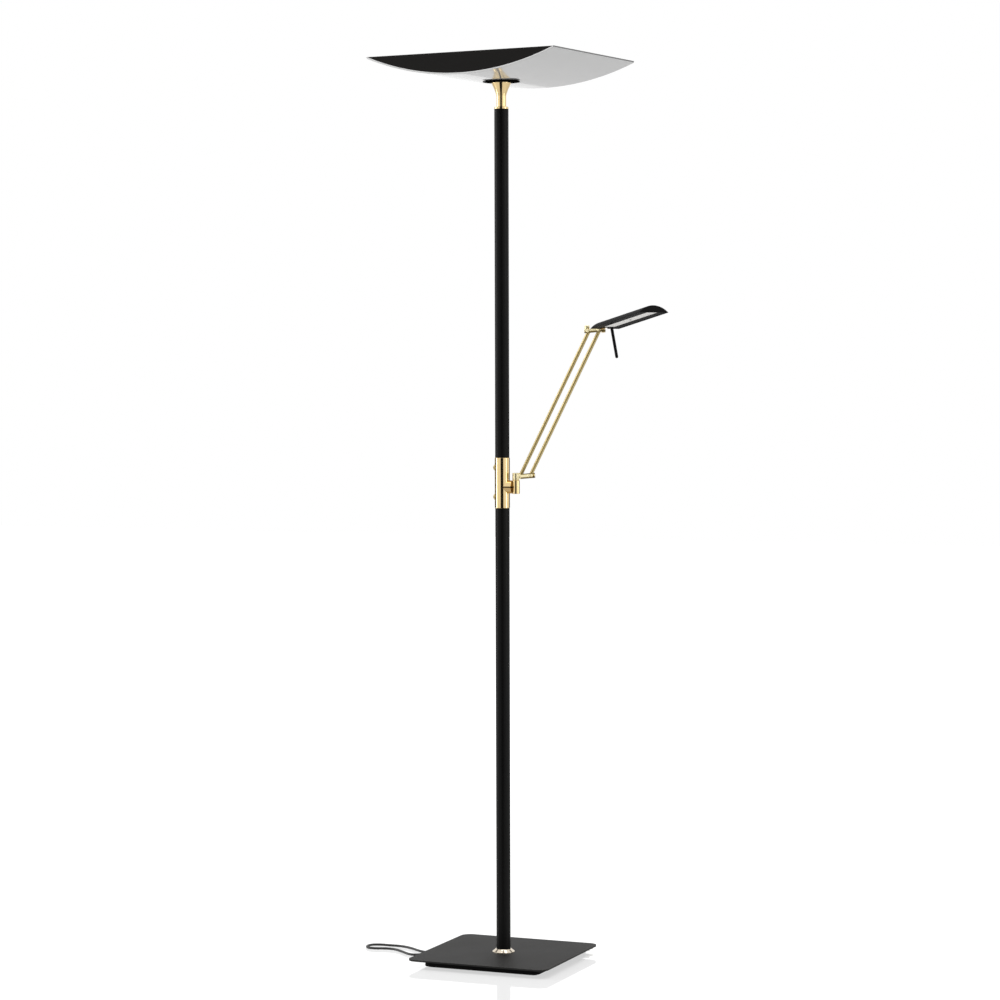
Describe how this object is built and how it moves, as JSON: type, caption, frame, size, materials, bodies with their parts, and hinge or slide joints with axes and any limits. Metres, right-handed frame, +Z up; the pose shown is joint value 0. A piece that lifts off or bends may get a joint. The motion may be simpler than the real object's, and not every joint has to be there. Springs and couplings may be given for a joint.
{
  "type": "floor_uplighter",
  "caption": "Floor uplighter: square weighted base, slim pole, curved trough shade that throws light up, and a jointed parallel-rod reading arm with a flat hooded head.",
  "frame": {"origin": "Middle of the base underside on the pole axis, on the floor.", "axes": "+Z up along the pole; +X from the pole toward the reading arm; +Y along the shade trough, away from the camera; the switches and the mains lead are on the -X side."},
  "size_m": [0.6875, 0.3872, 1.801],
  "materials": {
    "powder_black": "fine-texture powder coat",
    "satin_black": "satin black lacquer",
    "cast_block": "black painted cast iron",
    "polished_brass": "polished and lacquered",
    "pale_collar": "nickel-gold plate, polished",
    "white_gloss": "glossy white lacquer",
    "white_board": "white solder mask",
    "green_board": "green solder mask",
    "opal": "opal diffuser",
    "steel": "zinc plated",
    "aluminium": "extruded",
    "felt": "black felt",
    "lead_pvc": "flexible PVC",
    "plug_plastic": "moulded PVC",
    "part_plastic": "moulded",
    "driver_case": "moulded case",
    "led": "phosphor over the chip",
    "washer": "low-friction plastic"
  },
  "bodies": {
    "stand": {"base_plate": "powder_black", "base_block": "cast_block", "bottom_cover": "steel", "cover_screws": "steel", "felt_pad": "felt", "driver": "driver_case", "foot_plug": "aluminium", "foot_stud": "steel", "foot_nut": "steel", "foot_collar": "pale_collar", "strain_relief": "lead_pvc", "lower_pole": "satin_black", "dimmer_sleeve": "polished_brass", "button_rings": "polished_brass", "dimmer_board": "green_board", "dimmer_switches": "part_plastic", "inner_lead": "lead_pvc", "upper_pole": "satin_black", "arm_boss": "polished_brass", "boss_screw": "steel", "swivel_barrel": "polished_brass", "top_plug": "aluminium", "neck": "polished_brass", "swivel_washer": "washer", "mains_lead": "lead_pvc", "lead_hank": "lead_pvc", "lead_tie": "felt", "plug_lead": "lead_pvc", "plug": "plug_plastic"},
    "upper_switch": {"upper_button": "polished_brass"},
    "lower_switch": {"lower_button": "polished_brass"},
    "shade": {"shade_stem": "steel", "stem_nut": "steel", "shade_disc": "satin_black", "shade_sheet": "white_gloss", "front_panel": "powder_black", "back_panel": "powder_black", "light_tray": "aluminium", "light_boards": "white_board", "light_leds": "led", "light_diffuser": "opal"},
    "arm_foot": {"swivel_pin": "polished_brass", "lower_bar": "polished_brass", "lower_pivots": "polished_brass"},
    "inner_rod": {"rod_a": "polished_brass"},
    "outer_rod": {"rod_b": "polished_brass"},
    "arm_end": {"upper_bar": "polished_brass", "upper_pivots": "polished_brass"},
    "head_foot": {"head_stud": "polished_brass", "swivel_tongue": "polished_brass"},
    "head": {"tilt_pin": "steel", "head_lugs": "polished_brass", "head_hood": "satin_black", "head_tray": "satin_black", "head_heat_sink": "aluminium", "head_board": "white_board", "head_leds": "led", "head_diffuser": "opal", "diffuser_screw": "satin_black", "head_handle": "satin_black"}
  },
  "joints": [
    {"name": "shade_swivel", "type": "hinge", "parent": "stand", "child": "shade", "pos_m": [0, 0, 1.7548], "axis": [0, 0, 1], "range_deg": [-85, 85]},
    {"name": "upper_button_press", "type": "slide", "parent": "stand", "child": "upper_switch", "axis": [1, 0, 0], "range_m": [0, 0.001], "stiffness_N_per_m": 600, "springref_m": -0.0015},
    {"name": "lower_button_press", "type": "slide", "parent": "stand", "child": "lower_switch", "axis": [1, 0, 0], "range_m": [0, 0.001], "stiffness_N_per_m": 600, "springref_m": -0.0015},
    {"name": "arm_swivel", "type": "hinge", "parent": "stand", "child": "arm_foot", "pos_m": [0.0294, 0, 0.952], "axis": [0, 0, 1], "range_deg": [-80, 80]},
    {"name": "arm_lift", "type": "hinge", "parent": "arm_foot", "child": "inner_rod", "pos_m": [0.038, 0, 0.973], "axis": [0, 1, 0], "range_deg": [-17, 30]},
    {"name": "outer_rod_turn", "type": "hinge", "parent": "arm_foot", "child": "outer_rod", "pos_m": [0.06032, 0, 0.97495], "axis": [0, 1, 0], "range_deg": [-18, 31]},
    {"name": "arm_end_turn", "type": "hinge", "parent": "inner_rod", "child": "arm_end", "pos_m": [0.18537, 0, 1.26098], "axis": [0, 1, 0], "range_deg": [-31, 18]},
    {"name": "head_swivel", "type": "hinge", "parent": "arm_end", "child": "head_foot", "pos_m": [0.21558, 0, 1.26393], "axis": [0, 0, 1], "range_deg": [-12, 78]},
    {"name": "head_tilt", "type": "hinge", "parent": "head_foot", "child": "head", "pos_m": [0.21558, 0, 1.26873], "axis": [-0.5446, -0.8387, 0], "range_deg": [-15, 25]}
  ],
  "couplings": [
    {"joint": "outer_rod_turn", "follows": "arm_lift", "ratio": 1},
    {"joint": "arm_end_turn", "follows": "arm_lift", "ratio": -1}
  ]
}
